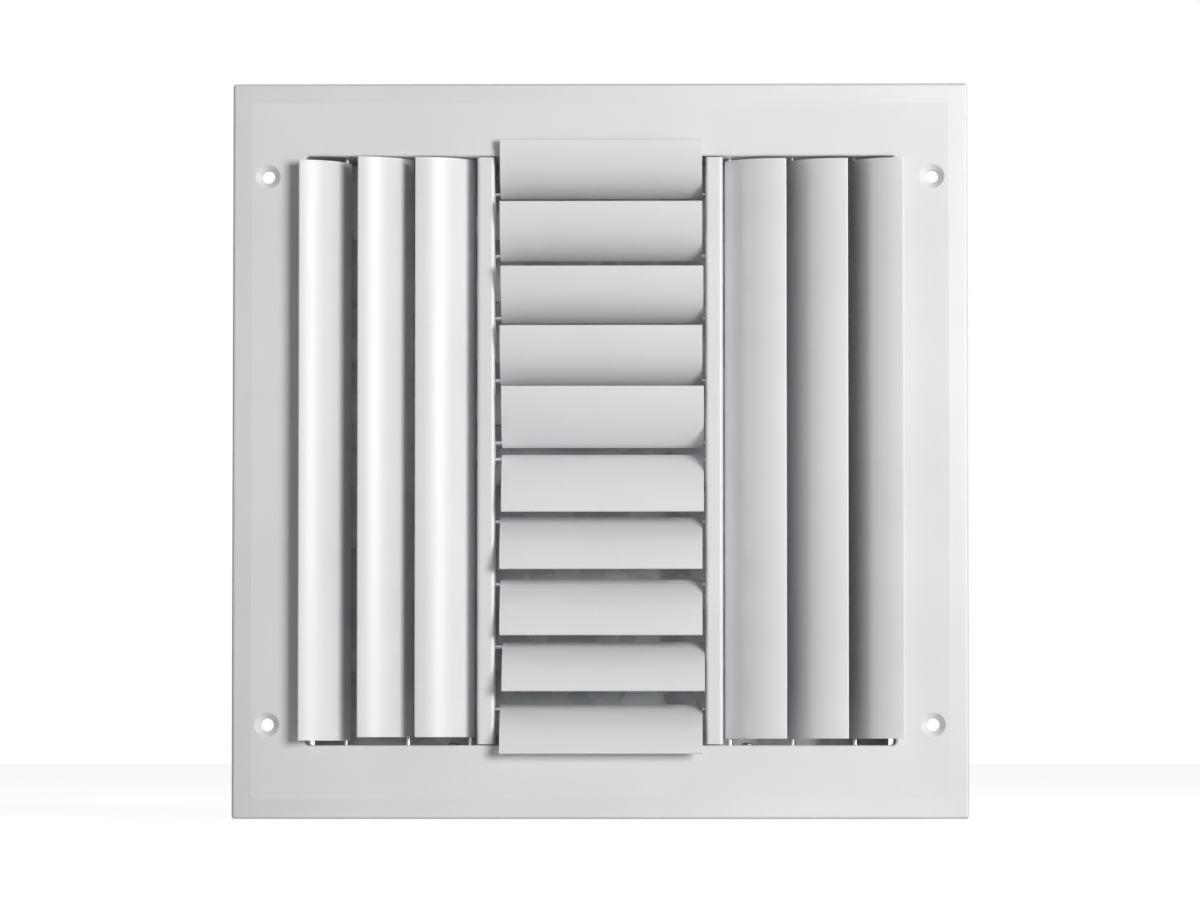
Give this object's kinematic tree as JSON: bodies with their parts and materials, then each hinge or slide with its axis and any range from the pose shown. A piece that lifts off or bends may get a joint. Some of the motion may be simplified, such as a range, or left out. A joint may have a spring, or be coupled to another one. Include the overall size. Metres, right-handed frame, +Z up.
{
  "type": "sidewall register",
  "caption": "Square stamped sidewall register with upright deflecting blades at both sides, level blades between two dividers, and a multi-shutter damper behind them.",
  "frame": {"origin": "centre of the four screw holes on the wall plane, where the rim of the face and the drawn rims of the holes rest", "axes": "+Z up, -Y out of the face toward the room, +Y into the duct, +X to the right seen from the room"},
  "size_m": [0.2986, 0.0642, 0.2986],
  "materials": {
    "white_enamel": "satin white enamel on steel sheet",
    "white_blade": "satin white enamel on extruded aluminium",
    "pin_steel": "bright zinc plate",
    "rivet_steel": "dull zinc plate",
    "galvanised_sheet": "galvanised sheet, matt"
  },
  "bodies": {
    "register": {"face_frame": "white_enamel", "divider_left": "white_enamel", "divider_right": "white_enamel", "divider_rivets": "rivet_steel", "damper_frame": "galvanised_sheet", "damper_rivets": "rivet_steel", "stop_angle_top": "galvanised_sheet", "stop_angle_bottom": "galvanised_sheet"},
    "left_1": {"blade_left_1": "white_blade", "pins_left_1": "pin_steel"},
    "left_2": {"blade_left_2": "white_blade", "pins_left_2": "pin_steel"},
    "left_3": {"blade_left_3": "white_blade", "pins_left_3": "pin_steel"},
    "right_1": {"blade_right_1": "white_blade", "pins_right_1": "pin_steel"},
    "right_2": {"blade_right_2": "white_blade", "pins_right_2": "pin_steel"},
    "right_3": {"blade_right_3": "white_blade", "pins_right_3": "pin_steel"},
    "up_1": {"blade_up_1": "white_blade", "pins_up_1": "pin_steel"},
    "up_2": {"blade_up_2": "white_blade", "pins_up_2": "pin_steel"},
    "up_3": {"blade_up_3": "white_blade", "pins_up_3": "pin_steel"},
    "up_4": {"blade_up_4": "white_blade", "pins_up_4": "pin_steel"},
    "up_5": {"blade_up_5": "white_blade", "pins_up_5": "pin_steel"},
    "down_1": {"blade_down_1": "white_blade", "pins_down_1": "pin_steel"},
    "down_2": {"blade_down_2": "white_blade", "pins_down_2": "pin_steel"},
    "down_3": {"blade_down_3": "white_blade", "pins_down_3": "pin_steel"},
    "down_4": {"blade_down_4": "white_blade", "pins_down_4": "pin_steel"},
    "down_5": {"blade_down_5": "white_blade", "pins_down_5": "pin_steel"},
    "shutter_5": {"shutter_5": "galvanised_sheet"},
    "shutter_1": {"shutter_1": "galvanised_sheet"},
    "shutter_2": {"shutter_2": "galvanised_sheet"},
    "shutter_3": {"shutter_3": "galvanised_sheet"},
    "shutter_4": {"shutter_4": "galvanised_sheet"},
    "shutter_6": {"shutter_6": "galvanised_sheet"},
    "shutter_7": {"shutter_7": "galvanised_sheet"},
    "shutter_8": {"shutter_8": "galvanised_sheet"},
    "shutter_9": {"shutter_9": "galvanised_sheet"},
    "link": {"link_bar": "galvanised_sheet", "link_rivets": "rivet_steel", "damper_lever": "galvanised_sheet", "lever_rivets": "rivet_steel"}
  },
  "joints": [
    {"name": "left_1_turn", "type": "hinge", "parent": "register", "child": "left_1", "pos_m": [-0.0527, 0.0085, 0], "axis": [0, 0, 1], "range_deg": [-14.3, 30.7]},
    {"name": "left_2_turn", "type": "hinge", "parent": "register", "child": "left_2", "pos_m": [-0.0781, 0.0085, 0], "axis": [0, 0, 1], "range_deg": [-19.9, 32.1]},
    {"name": "left_3_turn", "type": "hinge", "parent": "register", "child": "left_3", "pos_m": [-0.1035, 0.0085, 0], "axis": [0, 0, 1], "range_deg": [-12.7, 33.3]},
    {"name": "right_1_turn", "type": "hinge", "parent": "register", "child": "right_1", "pos_m": [0.0527, 0.0085, 0], "axis": [0, 0, -1], "range_deg": [-12, 33]},
    {"name": "right_2_turn", "type": "hinge", "parent": "register", "child": "right_2", "pos_m": [0.0781, 0.0085, 0], "axis": [0, 0, -1], "range_deg": [-13.1, 37.4]},
    {"name": "right_3_turn", "type": "hinge", "parent": "register", "child": "right_3", "pos_m": [0.1035, 0.0085, 0], "axis": [0, 0, -1], "range_deg": [-9.3, 30.2]},
    {"name": "up_1_turn", "type": "hinge", "parent": "register", "child": "up_1", "pos_m": [0, 0.0085, 0.0034], "axis": [1, 0, 0], "range_deg": [-14.7, 38.8]},
    {"name": "up_2_turn", "type": "hinge", "parent": "register", "child": "up_2", "pos_m": [0, 0.0085, 0.0288], "axis": [1, 0, 0], "range_deg": [-16.2, 36.3]},
    {"name": "up_3_turn", "type": "hinge", "parent": "register", "child": "up_3", "pos_m": [0, 0.0085, 0.0542], "axis": [1, 0, 0], "range_deg": [-21.9, 34.1]},
    {"name": "up_4_turn", "type": "hinge", "parent": "register", "child": "up_4", "pos_m": [0, 0.0085, 0.0796], "axis": [1, 0, 0], "range_deg": [-18.6, 37.4]},
    {"name": "up_5_turn", "type": "hinge", "parent": "register", "child": "up_5", "pos_m": [0, 0.0085, 0.105], "axis": [1, 0, 0], "range_deg": [-3.6, 36.4]},
    {"name": "down_1_turn", "type": "hinge", "parent": "register", "child": "down_1", "pos_m": [0, 0.0085, -0.0034], "axis": [-1, 0, 0], "range_deg": [-15.5, 35.5]},
    {"name": "down_2_turn", "type": "hinge", "parent": "register", "child": "down_2", "pos_m": [0, 0.0085, -0.0288], "axis": [-1, 0, 0], "range_deg": [-24, 31.5]},
    {"name": "down_3_turn", "type": "hinge", "parent": "register", "child": "down_3", "pos_m": [0, 0.0085, -0.0542], "axis": [-1, 0, 0], "range_deg": [-17.3, 35.7]},
    {"name": "down_4_turn", "type": "hinge", "parent": "register", "child": "down_4", "pos_m": [0, 0.0085, -0.0796], "axis": [-1, 0, 0], "range_deg": [-25.3, 27.2]},
    {"name": "down_5_turn", "type": "hinge", "parent": "register", "child": "down_5", "pos_m": [0, 0.0085, -0.105], "axis": [-1, 0, 0], "range_deg": [-13.2, 26.8]},
    {"name": "damper_swing", "type": "hinge", "parent": "register", "child": "shutter_5", "pos_m": [0, 0.036, 0], "axis": [-1, 0, 0], "range_deg": [0, 80]},
    {"name": "shutter_1_swing", "type": "hinge", "parent": "register", "child": "shutter_1", "pos_m": [0, 0.036, 0.1016], "axis": [-1, 0, 0], "range_deg": [0, 80]},
    {"name": "shutter_2_swing", "type": "hinge", "parent": "register", "child": "shutter_2", "pos_m": [0, 0.036, 0.0762], "axis": [-1, 0, 0], "range_deg": [0, 80]},
    {"name": "shutter_3_swing", "type": "hinge", "parent": "register", "child": "shutter_3", "pos_m": [0, 0.036, 0.0508], "axis": [-1, 0, 0], "range_deg": [0, 80]},
    {"name": "shutter_4_swing", "type": "hinge", "parent": "register", "child": "shutter_4", "pos_m": [0, 0.036, 0.0254], "axis": [-1, 0, 0], "range_deg": [0, 80]},
    {"name": "shutter_6_swing", "type": "hinge", "parent": "register", "child": "shutter_6", "pos_m": [0, 0.036, -0.0254], "axis": [-1, 0, 0], "range_deg": [0, 80]},
    {"name": "shutter_7_swing", "type": "hinge", "parent": "register", "child": "shutter_7", "pos_m": [0, 0.036, -0.0508], "axis": [-1, 0, 0], "range_deg": [0, 80]},
    {"name": "shutter_8_swing", "type": "hinge", "parent": "register", "child": "shutter_8", "pos_m": [0, 0.036, -0.0762], "axis": [-1, 0, 0], "range_deg": [0, 80]},
    {"name": "shutter_9_swing", "type": "hinge", "parent": "register", "child": "shutter_9", "pos_m": [0, 0.036, -0.1016], "axis": [-1, 0, 0], "range_deg": [0, 80]},
    {"name": "link_turn", "type": "hinge", "parent": "shutter_5", "child": "link", "pos_m": [-0.0463, 0.03121, -0.01316], "axis": [-1, 0, 0], "range_deg": [-80, 0]}
  ],
  "couplings": [
    {"joint": "shutter_1_swing", "follows": "damper_swing", "ratio": 1},
    {"joint": "shutter_2_swing", "follows": "damper_swing", "ratio": 1},
    {"joint": "shutter_3_swing", "follows": "damper_swing", "ratio": 1},
    {"joint": "shutter_4_swing", "follows": "damper_swing", "ratio": 1},
    {"joint": "shutter_6_swing", "follows": "damper_swing", "ratio": 1},
    {"joint": "shutter_7_swing", "follows": "damper_swing", "ratio": 1},
    {"joint": "shutter_8_swing", "follows": "damper_swing", "ratio": 1},
    {"joint": "shutter_9_swing", "follows": "damper_swing", "ratio": 1},
    {"joint": "link_turn", "follows": "damper_swing", "ratio": -1}
  ]
}
